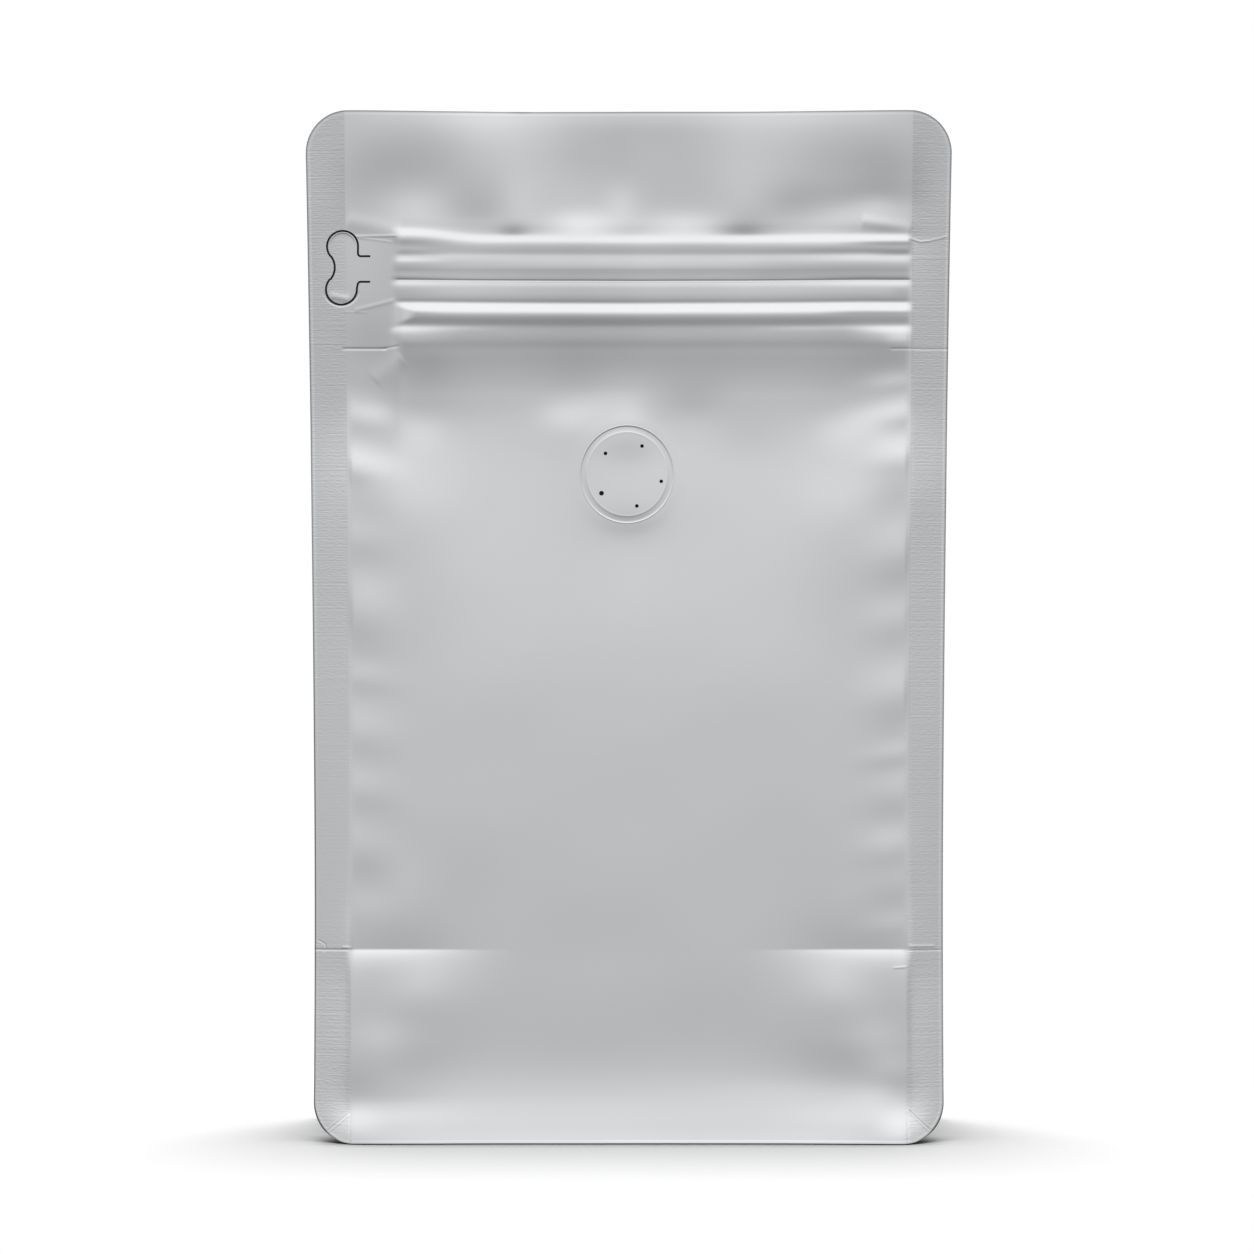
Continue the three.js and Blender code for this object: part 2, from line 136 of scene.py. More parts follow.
# Places where the film faces up more or less: (x, height, reach across, reach up, degrees).
# The side spots are on both sides, and the mouth spots end above the zipper.
MOUTH_SPOTS = [
    (-27.5, 204, 12, 5.5, 8), (-22.5, 196, 9.5, 8, 7), (-21.5, 186, 4.5, 7, 6), (-11, 188, 8, 7, 6),
    (-44, 195, 12, 8, -8), (-32, 185.5, 6, 6, -7), (-43, 185.5, 8, 4.5, 7), (-9.5, 181.8, 7.5, 3.2, 20),
    (-1.5, 186.5, 3.6, 4.5, 8), (4, 202, 12, 4, -4), (11, 181.4, 9, 3.4, 17), (27, 204, 12, 4.5, 3),
    (24, 194, 9, 9, 4), (47.5, 194.5, 15, 8.5, -9), (33, 186, 6, 5, -7), (49.5, 185, 8, 3.2, 8),
    (36, 182.0, 10, 3.0, 5), (-33, 181.4, 9, 2.2, 7), (-47, 181.0, 4, 1.6, 5),
    (-23.2, 180.5, 2.8, 1.7, -17), (22.8, 180.6, 4.6, 1.9, -16), (46, 188, 12, 3, -7),
    (-54, 190, 7, 12, -8), (54, 190, 8, 12, -9), (50, 181, 7, 1.4, -8), (50, 186.6, 4, 2, 4),
    (24, 183.4, 5, 2.5, -4),
]
SHOULDER_SPOTS = [
    (0, 118, 14, 18, -2.5), (-7, 145.3, 8.5, 3.2, 9), (12.5, 147, 6.5, 4, -5), (24, 140, 7, 5, -3),
    (-9, 141.5, 7, 3, 3), (-46.5, 141.5, 7, 3, 2), (50, 142.5, 7, 4.5, 11), (-40, 146, 9, 5, -3),
    (0, 136.5, 6, 3, -5), (-52, 142.5, 5, 4, 6), (52, 150, 5, 3, 5), (-52, 160, 6, 6, -4),
    (-13.5, 143.6, 5, 3, 6), (0.5, 144.3, 3.5, 3, 5), (0, 150, 6, 5, 3), (0, 121.5, 7, 3.5, -6),
    (-50, 131.5, 5, 3.5, 4), (-50, 151.5, 6, 4, 4), (-50, 144.5, 4, 2.5, 4), (48, 141.3, 5, 2.5, 4),
    (-61, 123, 7, 8, 3), (-40, 153, 5, 4, -3),
]
FOOT_SPOTS = [
    (50, 9, 7, 2.5, 7), (52, 15, 5, 3, 6), (51, 59, 5, 4, 4), (-44, 53, 6, 5, 3), (40, 17.5, 12, 5, -2),
    (54, 2.5, 5, 3, 8), (34, 9.8, 20, 2.2, 3), (-46, 9, 8, 2, -2),
]
SIDE_SPOTS = [
    (46, 106, 14, 11, -3), (47, 135.5, 13, 7.5, 6), (62, 135, 9, 9, 6), (42, 140, 5, 4, 6),
    (44, 127.5, 9, 6, 6), (43, 60, 8, 19, 4.5), (48, 4, 14, 8, 7), (54, 4.6, 5, 3, 12),
    (53, 11.5, 5, 3, -2), (50, 18, 7, 5, 4), (50, 22, 7, 7, 2), (40, 31, 9, 5, 2), (52, 41, 9, 4, 1),
    (50, 43, 9, 7, 2), (47, 5.6, 14, 2.4, 5), (46, 28, 10, 5, 5), (43, 21, 8, 3.5, 4), (44, 47, 8, 6, 3),
    (50, 106, 6, 14, 3), (50, 131, 5, 4, 3), (41, 32, 6, 4, 4), (50, 21.5, 6, 3.5, 4), (52, 44, 4, 4, 2),
]
# Below the crease the film is full at both ends: (reach down, degrees, from x, to x).
CREASE_ENDS = [(6.0, 15, 20, 42), (1.8, 17, 28, 50)]

# Short folds that run in from the side seals: (height, half width, how far the film stands out).
# They are proudest a little way in from the seal, and slant down towards the middle.
PUCKER_INWARD, PUCKER_REACH, PUCKER_SLANT = 2.5, 6.8, 0.12
PUCKERS_LEFT = [
    (142.6, 2.8, 0.375), (132.6, 3.2, 0.6875), (128.5, 5.0, 0.25), (118.0, 4.2, 0.3), (103.7, 6.6, 0.625),
    (90.6, 2.7, 0.1875), (79.5, 4.2, 0.275), (68.3, 3.8, 0.2375), (56.4, 4.7, 0.2875), (44.6, 4.2, 0.2),
]
PUCKERS_RIGHT = [
    (149.6, 1.8, 0.2), (143.0, 2.4, 0.45), (134.6, 3.0, 0.45), (131.5, 5.2, 0.5), (115.2, 6.0, 0.6875),
    (101.9, 4.5, 0.35), (87.2, 5.2, 0.5), (75.4, 2.2, 0.1875), (67.5, 4.2, 0.2875), (57.4, 3.4, 0.2125),
    (49.4, 3.6, 0.1875), (41.7, 2.3, 0.1),
]

# The tear tab: two round bulbs with a waist between them, and a neck that joins them to the strip.
TAB_R = 3.13
TAB_UPPER, TAB_LOWER = (-57.62, 177.93), (-57.77, 169.2)
TAB_NECK_TOP, TAB_NECK_BOTTOM, TAB_NECK_END = 175.9, 170.7, -52.0
TAB_CORNER, TAB_CORNER_R = -53.9, 0.6
TAB_WAIST, TAB_WAIST_R = (-62.9, 173.6), 3.75
TAB_CUT_WIDE, TAB_CUT_DEEP = 0.42, 0.3

# The valve: its middle and radii, and how far the film swells round it.
VALVE_X, VALVE_Z, VALVE_RX, VALVE_RZ = -0.35, 131.9, 9.4, 9.85
VALVE_RISE = 0.1
# Across the rim, from the disc out: (share of the radius, height on the film).
VALVE_PROFILE = [
    (0.855, 0.045), (0.862, 0.038), (0.87, 0.0), (0.88, -0.03), (0.92, -0.06), (0.965, -0.105),
    (0.974, -0.09), (0.984, 0.0), (0.992, 0.045), (1.0, 0.055), (1.008, 0.04), (1.016, -0.03),
    (1.014, -0.25), (0.98, -0.5), (0.9, -0.7),
]
# The disc inside the rim: its share of the radius, its height on the film and that of its underside.
VALVE_DISC_SHARE, VALVE_DISC, VALVE_UNDER = 0.845, 0.03, -0.9
# Its pinholes: (degrees round, way out from the middle, radius).
PINHOLES = [
    (62, 6.4, 0.37), (136, 6.0, 0.37), (217, 6.4, 0.48), (287, 6.7, 0.37), (348, 7.0, 0.37),
]
PINHOLE_DEEP, OPENING_DEEP = 0.3, 1.0


# ---------- small maths ----------
def smooth(start, end, value):
    t = np.clip((value - start) / (end - start), 0, 1)
    return t * t * (3 - 2 * t)


def mix(a, b, t):
    return a + (b - a) * t


def spot(x, z, at_x, at_z, reach_x, reach_z):
    return np.exp(-((x - at_x) / reach_x) ** 2 - ((z - at_z) / reach_z) ** 2)


def line(value, at, reach):
    return np.exp(-((value - at) / reach) ** 2)


def through(knots, at):
    """A smooth curve through (place, value) knots."""
    places, values = np.array(sorted(knots)).T
    slopes = np.gradient(values, places)
    slopes[[0, -1]] = 0
    at = np.clip(at, places[0], places[-1])
    k = np.clip(np.searchsorted(places, at) - 1, 0, len(places) - 2)
    width = places[k + 1] - places[k]
    t = (at - places[k]) / width
    start = values[k] * (1 + 2 * t) * (1 - t) ** 2 + slopes[k] * width * t * (1 - t) ** 2
    end = values[k + 1] * t * t * (3 - 2 * t) + slopes[k + 1] * width * t * t * (t - 1)
    return start + end


def ripples(x, z, seed, size_x, size_z):
    """Gentle random waves of about the given sizes, mostly between -1 and 1."""
    draw = np.random.default_rng(seed)
    count = 9
    total = np.zeros_like(x)
    for _ in range(count):
        turn_x = draw.normal(0, 1) * 2 * math.pi / size_x
        turn_z = draw.normal(0, 1) * 2 * math.pi / size_z
        total += np.cos(turn_x * x + turn_z * z + draw.uniform(0, 2 * math.pi))
    return total / math.sqrt(count)


# ---------- the film's surface, as its distance in front of the pouch's middle ----------
LEVEL_STEP = 0.125
LEVELS = np.arange(0, HEIGHT + 0.01, LEVEL_STEP)


def rise(z):
    return np.clip(z / HEIGHT, 0, 1)


def root_x(z):
    return mix(ROOT_BOTTOM, ROOT_TOP, rise(z))


def above_zero(value):
    return value.math("MAXIMUM", 0) if isinstance(value, Field) else np.maximum(value, 0)


def bow(z):
    """How far the side edge lies outside a straight line at a height, for numbers and for shader fields."""
    over = above_zero(z * (1 / HEIGHT) - BOW_AT) * (1 / (1 - BOW_AT))
    under = above_zero(BOW_AT - z * (1 / HEIGHT)) * (1 / BOW_AT)
    return over * over * BOW_TOP + under * under * BOW_FOOT - BOW_IN


def outline_x(z):
    edge = mix(EDGE_BOTTOM, EDGE_TOP, rise(z)) + bow(z)
    up = np.clip(z - (HEIGHT - CORNER_TOP), 0, CORNER_TOP)
    down = np.clip(CORNER_BOTTOM - z, 0, CORNER_BOTTOM)
    edge = edge - CORNER_TOP + np.sqrt(CORNER_TOP ** 2 - up ** 2)
    return edge - CORNER_BOTTOM + np.sqrt(CORNER_BOTTOM ** 2 - down ** 2)


def fallen_back(tilt, start, end):
    """Depths up the pouch, from the start at the foot to the end at the mouth, for tilts in degrees."""
    fall = np.tan(np.radians(tilt))
    steps = np.cumsum((fall[1:] + fall[:-1]) / 2 * LEVEL_STEP)
    depth = start - np.concatenate([[0], steps])
    return depth - (depth[-1] - end) * rise(LEVELS)


def seam_depth(z):
    return DEPTH_TOP + (FIN_DEPTH_BASE - DEPTH_TOP) * (1 - rise(z)) ** SEAM_CURVE


def fin_turn(z):
    return np.tan(mix(FIN_TURN_BOTTOM, FIN_TURN_TOP, rise(z)))


def between_seams(panel, x, z):
    """A panel's depth, drawn down to the seams at both sides, and the fins beyond them."""
    root, seam = root_x(z), seam_depth(z)
    aside = np.clip(np.abs(x) / root, 0, 1)
    return seam + (panel - seam) * (1 - aside ** 5) - fin_turn(z) * np.clip(np.abs(x) - root, 0, None)


def inside_seams(x, z, blend):
    """1 inside the side seals, fading to 0 within blend of them."""
    return 1 - smooth(-blend, 0, np.abs(x) - root_x(z))


def zipper_tilt(x, z):
    """How much more the film faces up on the zipper than plain film does, degrees."""
    left_end = through(ZIPPER_STARTS, z)
    across = smooth(left_end - 0.6, left_end + 1.2 + line(z, 152, 6), x)
    across *= 1 - smooth(-0.9, 0.1, x - root_x(z))
    z = z + ZIPPER_SAG * np.clip(1 - (x / ZIPPER_HALF) ** 2, 0, 1) * smooth(156, 160, z)
    lifted = ZIPPER_LEFT_LIFT * smooth(-28, -44, x) * smooth(176, 178, z)
    tilt = through(ZIPPER_TILT, z - lifted)
    for way, start, end, bands in ZIPPER_ENDS:
        share = smooth(start, end, way * x if way else np.abs(x))
        for at, reach, degrees in bands:
            tilt += share * degrees * line(z, at, reach)
    return (tilt - through(FRONT_TILT, z)) * across * (z > ZIP_BOTTOM) * (z < ZIP_TOP)


def fold_tilt(x, z):
    """How much more the film faces up in the broad folds, degrees."""
    tilt = np.zeros_like(x)
    above_zipper = smooth(179.4, 180.4, z)
    for *place, degrees in MOUTH_SPOTS:
        tilt += degrees * spot(x, z, *place) * above_zipper
    for *place, degrees in SHOULDER_SPOTS + FOOT_SPOTS:
        tilt += degrees * spot(x, z, *place)
    for *place, degrees in SIDE_SPOTS:
        tilt += degrees * spot(np.abs(x), z, *place)
    below = CREASE_Z - z
    onto_fin = 1 - smooth(-0.8, 0.8, np.abs(x) - root_x(z))
    for reach, degrees, start, end in CREASE_ENDS:
        full = degrees * np.exp(-np.clip(below, 0, None) / reach) * (below > 0)
        tilt += full * smooth(start, end, np.abs(x)) * onto_fin
    return tilt


def relief(tilt):
    """How far film with this extra tilt stands out, on a grid, without its slow drift up the pouch."""
    plain = PANEL_TILT[:, None]
    fall = np.tan(np.radians(plain + tilt)) - np.tan(np.radians(plain))
    out = -np.cumsum(fall, axis=0) * LEVEL_STEP
    reach = int(3 * DRIFT_REACH / LEVEL_STEP)
    weights = np.exp(-(np.arange(-reach, reach + 1) * LEVEL_STEP / DRIFT_REACH) ** 2)
    padded = np.pad(out, ((reach, reach), (0, 0)), mode="edge")
    drift = np.apply_along_axis(np.convolve, 0, padded, weights / weights.sum(), mode="valid")
    return out - drift


def grid_value(grid, x, z):
    across = np.clip((x - GRID_X[0]) / GRID_STEP_X, 0, len(GRID_X) - 1.001)
    up = np.clip(z / LEVEL_STEP, 0, len(LEVELS) - 1.001)
    i, j = across.astype(int), up.astype(int)
    low = mix(grid[j, i], grid[j, i + 1], across - i)
    high = mix(grid[j + 1, i], grid[j + 1, i + 1], across - i)
    return mix(low, high, up - j)


# Relief changes slower than this up the pouch, mm, are left to the panel's own tilt.
DRIFT_REACH = 22.0
GRID_STEP_X = 0.75
GRID_X = np.arange(-66, 66.1, GRID_STEP_X)
PANEL_TILT = through(FRONT_TILT, LEVELS - DETAILS_UP)
PANEL = fallen_back(PANEL_TILT, DEPTH_BASE, MOUTH_DEPTH)
FOLDS = relief(fold_tilt(*np.meshgrid(GRID_X, LEVELS - DETAILS_UP)))
ZIPPER = relief(zipper_tilt(*np.meshgrid(GRID_X, LEVELS - DETAILS_UP)))


def front_panel_depth(z):
    """The front film's depth down its middle."""
    return np.interp(z, LEVELS, PANEL)


def puckers(x, z):
    """How far the short folds beside the side seals stand out."""
    total = np.zeros_like(x)
    inward = root_x(z) - np.abs(x)
    along = line(inward, PUCKER_INWARD, PUCKER_REACH)
    for side, folds in ((-1, PUCKERS_LEFT), (1, PUCKERS_RIGHT)):
        for place, wide, proud in folds:
            centre = place + DETAILS_UP - PUCKER_SLANT * (inward - 5)
            total += proud * line(z, centre, wide) * along * (side * x > 0)
    return total * inside_seams(x, z, 1.3)


def valve_rise(x, z):
    """The film swells a little round the valve."""
    share = np.hypot((x - VALVE_X) / VALVE_RX, (z - VALVE_Z) / VALVE_RZ)
    return VALVE_RISE * (1 - smooth(0.98, 1.3, share))


def front_depth(x, z):
    x, z = np.asarray(x, float), np.asarray(z, float)
    depth = between_seams(front_panel_depth(z), x, z)
    onto_fin = 1 - smooth(0, 14, np.abs(x) - root_x(z))
    depth += grid_value(FOLDS, x, z) * onto_fin + grid_value(ZIPPER, x, z) + puckers(x, z)
    depth += FRONT_RIPPLE * ripples(x, z, FRONT_SEED, *RIPPLE_SIZE) * inside_seams(x, z, 10)
    return np.maximum(depth + valve_rise(x, z), LEAST_DEPTH)


def back_depth(x, z):
    aside = np.clip(np.abs(x) / SHOULDER_REACH, 0, 1)
    low = SHOULDER_LOW_MIDDLE + SHOULDER_LOW_RISE * aside ** 2
    panel = DEPTH_BASE - LEAN * z - SHOULDER_DROP * smooth(low, SHOULDER_TOP, z)
    full = BACK_FULL * line(z, BACK_FULL_Z, BACK_FULL_REACH) * smooth(22, 46, np.abs(x))
    crease = BACK_CREASE * line(z, CREASE_Z, 0.5)
    waves = BACK_RIPPLE * ripples(x, z, BACK_SEED, *RIPPLE_SIZE)
    depth = between_seams(panel, x, z) + puckers(-x, z) + (full - crease + waves) * inside_seams(x, z, 6)
    return np.maximum(depth, LEAST_DEPTH)


# ---------- meshes ----------
SHARP_FROM = math.radians(50)


def stops(fine, step, start, end):
    """Places from start to end, step apart, closer inside each fine (from, to, step) stretch."""
    places = [start]
    while places[-1] < end - 1e-6:
        at = places[-1]
        near = [s for a, b, s in fine if a <= at < b]
        ahead = [a - at for a, b, s in fine if a > at + 1e-6]
        places.append(min([at + min(near + [step]), end] + [at + gap for gap in ahead]))
    return np.array(places)


def corner_stops(radius, count):
    """Places up from the end of a rounded corner, evenly spaced round it."""
    return radius * (1 - np.cos(np.linspace(0, math.pi / 2, count)))


def mesh_object(name, points, faces, material):
    mesh = bpy.data.meshes.new(name)
    mesh.from_pydata([tuple(p) for p in np.asarray(points) * MM], [], faces)
    mesh.validate()
    mesh.polygons.foreach_set("use_smooth", [True] * len(mesh.polygons))
    mesh.set_sharp_from_angle(angle=SHARP_FROM)
    mesh.materials.append(material)
    piece = bpy.data.objects.new(name, mesh)
    bpy.context.scene.collection.objects.link(piece)
    return piece


def kept_lines(count, stride):
    """Every stride-th of a grid's lines, and the last one."""
    return list(range(0, count - 1, stride)) + [count - 1]


def closed_sheet(outer, inner, stride, flip=False):
    """Points and faces of a thin closed sheet. outer and inner are grids of points, rows first, and
    the inner face, which hardly shows, takes only every stride-th row and column."""
    rows, columns = outer.shape[:2]
    points = list(outer.reshape(-1, 3))
    faces = []
    for j in range(rows - 1):
        at = j * columns
        faces += [(at + i, at + i + 1, at + i + 1 + columns, at + i + columns) for i in range(columns - 1)]
    kept = {}

    def inside(j, i):
        if (j, i) not in kept:
            kept[(j, i)] = len(points)
            points.append(inner[j, i])
        return kept[(j, i)]

    row_lines, column_lines = kept_lines(rows, stride), kept_lines(columns, stride)
    for j0, j1 in zip(row_lines, row_lines[1:]):
        for i0, i1 in zip(column_lines, column_lines[1:]):
            low = range(i0, i1) if j0 == 0 else [i0]
            right = range(j0, j1) if i1 == columns - 1 else [j0]
            high = range(i1, i0, -1) if j1 == rows - 1 else [i1]
            left = range(j1, j0, -1) if i0 == 0 else [j1]
            loop = [inside(j0, i) for i in low] + [inside(j, i1) for j in right]
            loop += [inside(j1, i) for i in high] + [inside(j, i0) for j in left]
            faces.append(tuple(reversed(loop)))
    rim = [(0, i) for i in range(columns - 1)] + [(j, columns - 1) for j in range(rows - 1)]
    rim += [(rows - 1, i) for i in range(columns - 1, 0, -1)] + [(j, 0) for j in range(rows - 1, 0, -1)]
    for (j0, i0), (j1, i1) in zip(rim, rim[1:] + rim[:1]):
        faces.append((j1 * columns + i1, j0 * columns + i0, inside(j0, i0), inside(j1, i1)))
    if flip:
        faces = [tuple(reversed(face)) for face in faces]
    return points, faces


def mouth_sag(x):
    """How much lower the mouth is towards the middle."""
    return MOUTH_SAG * np.clip(1 - (x / MOUTH_SAG_HALF) ** 2, 0, 1)


def film_panel(name, depth, side, columns, rows, material):
    """A front (side -1) or back (side 1) panel with its fins, out to the rounded outline."""
    z = np.repeat(rows[:, None], len(columns), axis=1)
    x = columns[None, :] * outline_x(z) / EDGE_TOP
    y = side * depth(x, z)
    z = z - mouth_sag(x) * smooth(MOUTH_SAG_FROM, HEIGHT, z) + FOOT_GAP * (1 - smooth(0, 3, z))
    outer = np.stack([x, y, z], axis=2)
    inner = np.stack([x, y - side * FILM, z], axis=2)
    points, faces = closed_sheet(outer, inner, 4, flip=side > 0)
    return mesh_object(name, points, faces, material)


def front_panel(material):
    columns = stops([(-59, -43, 0.45), (43, 59, 0.45)], 0.9, -EDGE_TOP, EDGE_TOP)
    fine = [(7.6, 9.2, 0.2), (35.6, 38.2, 0.2), (155, 182, 0.2), (182, 196, 0.5)]
    middle = stops(fine, 0.72, CORNER_BOTTOM, HEIGHT - CORNER_TOP)
    low = corner_stops(CORNER_BOTTOM, 18)
    high = HEIGHT - corner_stops(CORNER_TOP, 18)[::-1]
    rows = np.concatenate([low[:-1], middle, high[1:]])
    return film_panel("front_film", front_depth, -1, columns, rows, material)


def back_panel(material):
    columns = stops([(-60, -53, 0.7), (53, 60, 0.7)], 1.3, -EDGE_TOP, EDGE_TOP)
    middle = stops([(6.4, 8.6, 0.4), (30, 39, 0.6)], 1.3, CORNER_BOTTOM, HEIGHT - CORNER_TOP)
    low = corner_stops(CORNER_BOTTOM, 12)
    high = HEIGHT - corner_stops(CORNER_TOP, 12)[::-1]
    rows = np.concatenate([low[:-1], middle, high[1:]])
    return film_panel("back_film", back_depth, 1, columns, rows, material)


# A column of the gusset's mesh, this share of the way out, runs along the edge of its flat triangle,
# and the outermost columns lie on the seam from the last share on.
KNEE, KNEE_LEAST, SEAM_FROM = 0.3, 0.03, 0.985


def gusset_inward(z):
    """How far in from the seam the gusset's middle crease lies."""
    folded = np.sqrt(GUSSET_HALF ** 2 - seam_depth(np.maximum(z, GUSSET_FACET)) ** 2)
    return mix(1.0, folded, np.clip(z / GUSSET_FACET, 0, 1))


def gusset(name, side, material):
    """A side panel folded inward, with the flat triangle that its crease leaves above the base."""
    rows = stops([(0, 40, 0.9)], 1.6, 0.2, HEIGHT - 1.2)
    v, z = np.meshgrid(np.linspace(-1, 1, 81), rows)
    root, seam = root_x(z) + 1.0, seam_depth(z) - FILM
    widest = np.maximum(seam - 0.1, 0.06)
    facet = np.maximum(widest * (1 - z / GUSSET_FACET), 0)
    crease = root_x(z) - gusset_inward(z)
    flat = facet / np.maximum(widest, 1e-6)
    knee = np.maximum(flat, KNEE_LEAST)
    part = np.clip(np.abs(v) / SEAM_FROM, 0, 1)
    share = np.where(part < KNEE, knee * part / KNEE, knee + (1 - knee) * (part - KNEE) / (1 - KNEE))
    beyond = np.clip((share - flat) / np.maximum(1 - flat, 1e-3), 0, 1)
    x = mix(crease, root, beyond)
    waves = ripples(v * 20, z, GUSSET_SEED + side, 30, 34) * np.sin(math.pi * beyond)
    x += GUSSET_RIPPLE * waves * np.clip(seam / 8, 0, 1)
    y = np.sign(v) * np.where(share <= flat, share * widest, mix(facet, widest, beyond))
    room = np.where(v < 0, front_depth(side * x, z), back_depth(side * x, z)) - FILM - GUSSET_CLEAR
    y = np.clip(y, -room, room)
    outer = np.stack([side * x, y, z], axis=2)
    inner = np.stack([side * (x - INNER_FILM), y, z], axis=2)
    points, faces = closed_sheet(outer, inner, 4, flip=side < 0)
    return mesh_object(name, points, faces, material)


def base_panel(material):
    """The film under the pouch, sealed into the bands and sagging to the ground."""
    steps = np.linspace(-1, 1, 71)
    u, v = np.meshgrid(steps, steps)
    x, y = u * BASE_HALF_X, v * BASE_HALF_Y
    lifted = BASE_RIM * (1 - (1 - u ** 4) * (1 - v ** 4))
    waves = BASE_RIPPLE * ripples(x, y, BASE_SEED, 30, 20) * (1 - v ** 2)
    z = np.maximum(lifted + waves, GROUND_CLEAR)
    room = np.where(y < 0, front_depth(x, z), back_depth(x, z)) - FILM - BASE_CLEAR
    y = np.clip(y, -room, room)
    outer = np.stack([x, y, z], axis=2)
    inner = np.stack([x, y, z + INNER_FILM], axis=2)
    points, faces = closed_sheet(outer, inner, 3, flip=True)
    return mesh_object("base_film", points, faces, material)


def on_front(u, v, out):
    """A point beside the valve's middle, lifted off the front film along the film's normal."""
    x, z = VALVE_X + u, VALVE_Z + v
    near = 0.5
    slope_x = (front_depth(x + near, z) - front_depth(x - near, z)) / (2 * near)
    slope_z = (front_depth(x, z + near) - front_depth(x, z - near)) / (2 * near)
    out = out / np.sqrt(1 + slope_x ** 2 + slope_z ** 2)
    return np.stack([x - slope_x * out, -front_depth(x, z) - out, z - slope_z * out], axis=-1)


def valve_cap(material, dark):
    """The film pressed over the valve: a lip, a groove and a flat disc with pinholes."""
    rings = [(share, VALVE_DISC) for share in np.linspace(0.02, VALVE_DISC_SHARE, 28)] + VALVE_PROFILE
    share, height = np.array(rings).T
    angles = np.linspace(0, 2 * math.pi, 181)[:-1]
    share, angle = np.meshgrid(share, angles, indexing="ij")
    u, v = share * VALVE_RX * np.cos(angle), share * VALVE_RZ * np.sin(angle)
    top = on_front(u, v, np.repeat(height[:, None], len(angles), axis=1))
    count = len(angles)
    points = list(top.reshape(-1, 3))
    faces = []
    for j in range(len(rings) - 1):
        for i in range(count):
            n = (i + 1) % count
            faces.append((j * count + i, (j + 1) * count + i, (j + 1) * count + n, j * count + n))
    middle = len(points)
    points.append(on_front(np.array(0.0), np.array(0.0), VALVE_DISC))
    faces += [(middle, i, (i + 1) % count) for i in range(count)]
    last = (len(rings) - 1) * count
    under = len(points)
    points.append(on_front(np.array(0.0), np.array(0.0), VALVE_UNDER))
    faces += [(under, last + (i + 1) % count, last + i) for i in range(count)]
    cap = mesh_object("valve_cap", points, faces, material)
    cap.data.materials.append(dark)
    for k, (degrees, out, radius) in enumerate(PINHOLES):
        angle = math.radians(degrees)
        at = (out * math.cos(angle), out * math.sin(angle))
        cut(cap, drill(f"pinhole_{k}", at, (radius, radius), PINHOLE_DEEP, 20, dark))
    return cap


def drill(name, at, radii, deep, sides, material):
    """A round cutter that stands on the front film beside the valve's middle and goes into it."""
    points = []
    for out in (-deep, 1.0):
        for turn in np.linspace(0, 2 * math.pi, sides + 1)[:-1]:
            u, v = at[0] + radii[0] * math.cos(turn), at[1] + radii[1] * math.sin(turn)
            points.append(on_front(np.array(u), np.array(v), out))
    faces = [(i, (i + 1) % sides, sides + (i + 1) % sides, sides + i) for i in range(sides)]
    faces += [tuple(reversed(range(sides))), tuple(range(sides, 2 * sides))]
    return mesh_object(name, points, faces, material)


def arc(centre, radius, start, end, side=1):
    """Points round a centre from one angle to another, each with the way that the cut's left side faces."""
    rays = [(math.cos(a), math.sin(a)) for a in np.radians(np.linspace(start, end, 24))]
    return [((centre[0] + radius * u, centre[1] + radius * v), (side * u, side * v)) for u, v in rays]


def tab_cutter(material):
    """The ribbon that the blade cuts round the tear tab, open where the tab joins its strip."""
    half = TAB_CUT_WIDE / 2
    arm = np.linspace(TAB_NECK_END, TAB_CORNER + 0.3, 5)
    path = [((x, TAB_NECK_TOP), (0, 1)) for x in arm]
    path += arc((TAB_CORNER, TAB_NECK_TOP + TAB_CORNER_R), TAB_CORNER_R, 270, 185, -1)
    path += arc(TAB_UPPER, TAB_R, -4, 219)
    path += arc(TAB_WAIST, TAB_WAIST_R, 39, -40, -1)
    path += arc(TAB_LOWER, TAB_R, 140, 364)
    path += arc((TAB_CORNER, TAB_NECK_BOTTOM - TAB_CORNER_R), TAB_CORNER_R, 175, 90, -1)
    path += [((x, TAB_NECK_BOTTOM), (0, -1)) for x in arm[::-1]]
    points, faces = [], []
    for (x, z), (ray_x, ray_z) in path:
        for aside, lift in ((-half, -TAB_CUT_DEEP), (-half, 1.0), (half, 1.0), (half, -TAB_CUT_DEEP)):
            at_x, at_z = np.array(x + aside * ray_x), np.array(z + aside * ray_z)
            points.append((float(at_x), float(-front_depth(at_x, at_z) - lift), float(at_z)))
    for k in range(len(path) - 1):
        for i in range(4):
            n = (i + 1) % 4
            faces.append((4 * k + i, 4 * k + n, 4 * k + 4 + n, 4 * k + 4 + i))
    last = 4 * (len(path) - 1)
    faces += [(3, 2, 1, 0), (last, last + 1, last + 2, last + 3)]
    return mesh_object("tab_cutter", points, faces, material)


def cut(piece, cutter):
    """Cuts the cutter's shape out of the piece, leaves its material on the walls and removes it."""
    tool = piece.modifiers.new("cut", "BOOLEAN")
    tool.operation, tool.object, tool.solver = "DIFFERENCE", cutter, "EXACT"
    tool.material_mode = "TRANSFER"
    bpy.context.view_layer.objects.active = piece
    bpy.context.view_layer.update()
    with bpy.context.temp_override(object=piece, active_object=piece, selected_objects=[piece]):
        bpy.ops.object.modifier_apply(modifier=tool.name)
    bpy.data.objects.remove(cutter)
    piece.data.set_sharp_from_angle(angle=SHARP_FROM)


